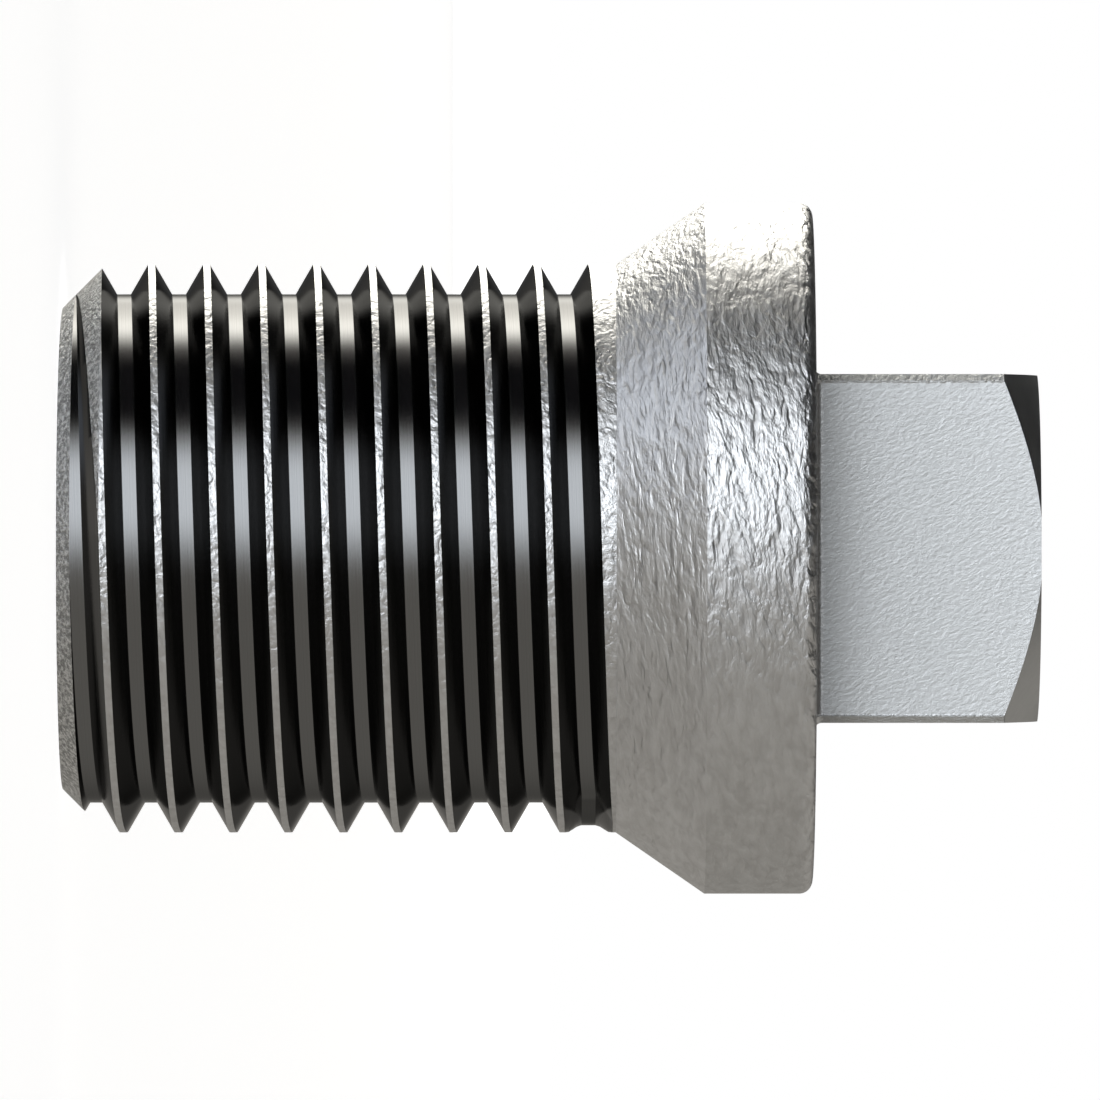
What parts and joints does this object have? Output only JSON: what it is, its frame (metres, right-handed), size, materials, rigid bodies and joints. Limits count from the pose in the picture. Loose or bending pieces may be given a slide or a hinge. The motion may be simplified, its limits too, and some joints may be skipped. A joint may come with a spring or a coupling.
{
  "type": "threaded pipe plug",
  "caption": "Straight-thread steel pipe plug with a conical seat, a round flange and a square head for a wrench.",
  "frame": {"origin": "centre of the flat end face of the shank, on which the plug stands", "axes": "+Z along the plug's axis from the threaded end to the square head; X and Y are square to the head's flats"},
  "size_m": [0.016, 0.016, 0.0225],
  "materials": {
    "steel": "matte as-forged skin with bright machined thread grooves"
  },
  "bodies": {
    "root": {"plug": "steel"}
  },
  "joints": []
}
